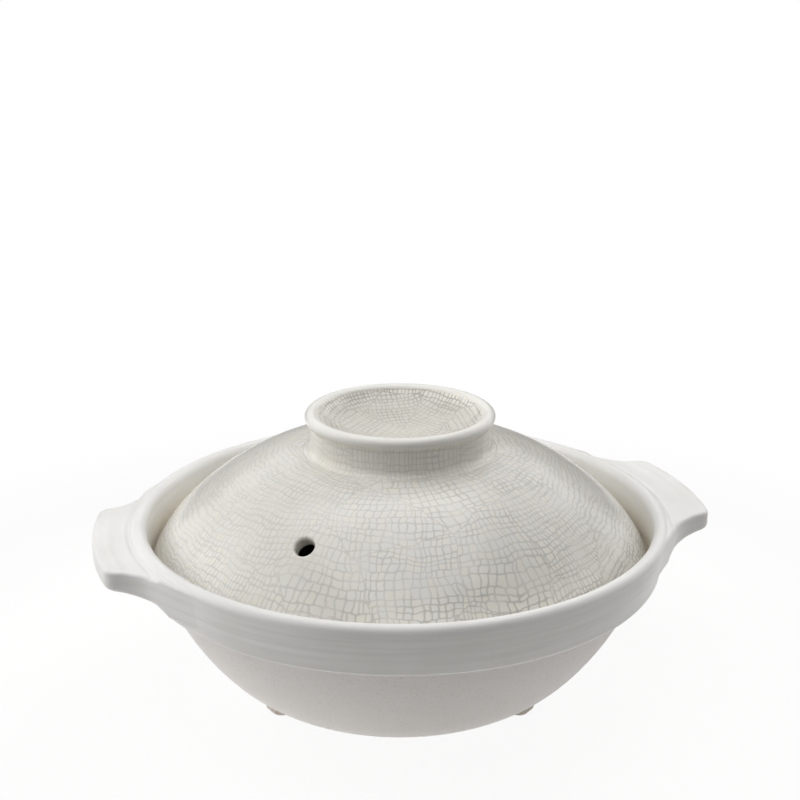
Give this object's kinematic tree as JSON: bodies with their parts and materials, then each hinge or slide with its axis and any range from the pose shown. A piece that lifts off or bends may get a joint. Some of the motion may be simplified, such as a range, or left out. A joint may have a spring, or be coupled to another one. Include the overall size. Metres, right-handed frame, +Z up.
{
  "type": "donabe clay pot",
  "caption": "Low round clay pot for cooking at the stove or table, with flat side lugs, small feet and a domed lid with a dished knob and a steam hole.",
  "frame": {"origin": "on the pot's axis, on the surface that the feet stand on", "axes": "+Z up along the axis of the bowl and the lid, X through the two lugs with the longer lug at +X, +Y towards the back foot"},
  "size_m": [0.295, 0.255, 0.1347],
  "materials": {
    "white_satin_glaze": "white satin glaze, matte below the collar",
    "crackle_glaze": "glossy grey-beige glaze with a fine crackle",
    "bare_clay": "unglazed fired clay"
  },
  "bodies": {
    "pot": {"bowl": "white_satin_glaze", "collar": "white_satin_glaze", "handle_left": "white_satin_glaze", "handle_right": "white_satin_glaze", "foot_front_left": "bare_clay", "foot_front_right": "bare_clay", "foot_back": "bare_clay"},
    "lid": {"lid": "crackle_glaze", "lid_knob": "crackle_glaze"}
  },
  "joints": [
    {"name": "lid_lift", "type": "slide", "parent": "pot", "child": "lid", "axis": [0, 0, 1], "range_m": [0, 0.12]}
  ]
}
